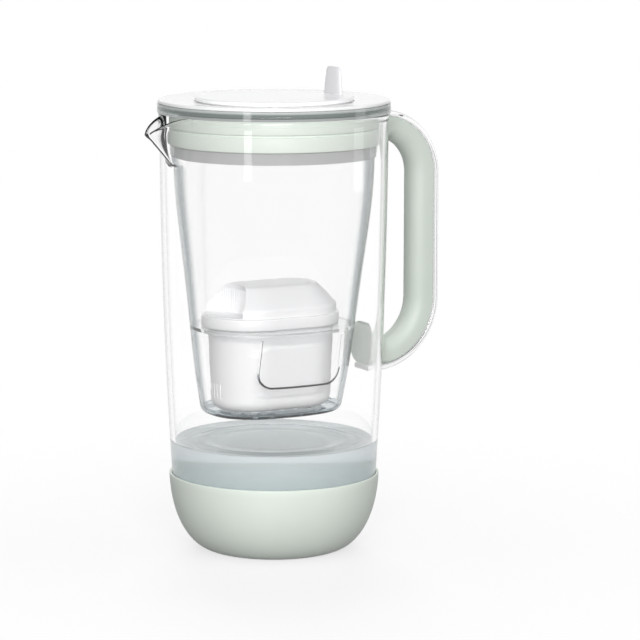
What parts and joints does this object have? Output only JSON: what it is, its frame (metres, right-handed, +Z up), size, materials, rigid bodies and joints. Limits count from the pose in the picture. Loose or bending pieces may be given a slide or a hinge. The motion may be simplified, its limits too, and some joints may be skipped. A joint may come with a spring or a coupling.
{
  "type": "water filter jug",
  "caption": "Round glass water filter jug with pouring spout, gripped handle, soft boot, lift-out funnel with cartridge, and a lid with a flip flap.",
  "frame": {"origin": "centre of the round foot, on the surface that the jug stands on", "axes": "+Z up along the jug's axis, +X towards the handle, -X towards the spout, Y along the flap's hinge"},
  "size_m": [0.1963, 0.14, 0.291],
  "materials": {
    "clear_glass": "clear, fire polished",
    "clear_plastic": "clear, moulded",
    "mint_silicone": "matt, soft",
    "white_gloss": "gloss",
    "white_satin": "satin",
    "mesh_white": "woven",
    "filter_granules": "granular",
    "pin_steel": "drawn"
  },
  "bodies": {
    "jug": {"glass_jug": "clear_glass", "glass_handle": "clear_glass", "handle_grip": "mint_silicone", "base_boot": "mint_silicone"},
    "funnel": {"funnel_hopper": "clear_plastic", "neck_collar": "mint_silicone"},
    "cartridge": {"cartridge_cup": "white_satin", "cartridge_cap": "white_satin", "upper_screen": "mesh_white", "filter_media": "filter_granules", "lower_screen": "mesh_white"},
    "lid": {"lid_cover": "white_gloss", "hinge_pin": "pin_steel"},
    "flap": {"flip_flap": "white_gloss", "thumb_lever": "white_satin"}
  },
  "joints": [
    {"name": "funnel_lift", "type": "slide", "parent": "jug", "child": "funnel", "axis": [0, 0, 1], "range_m": [0, 0.19]},
    {"name": "cartridge_lift", "type": "slide", "parent": "funnel", "child": "cartridge", "axis": [0, 0, 1], "range_m": [0, 0.085]},
    {"name": "lid_lift", "type": "slide", "parent": "funnel", "child": "lid", "axis": [0, 0, 1], "range_m": [0, 0.04]},
    {"name": "flap_hinge", "type": "hinge", "parent": "lid", "child": "flap", "pos_m": [0.0505, 0, 0.2709], "axis": [0, 1, 0], "range_deg": [0, 80]}
  ]
}
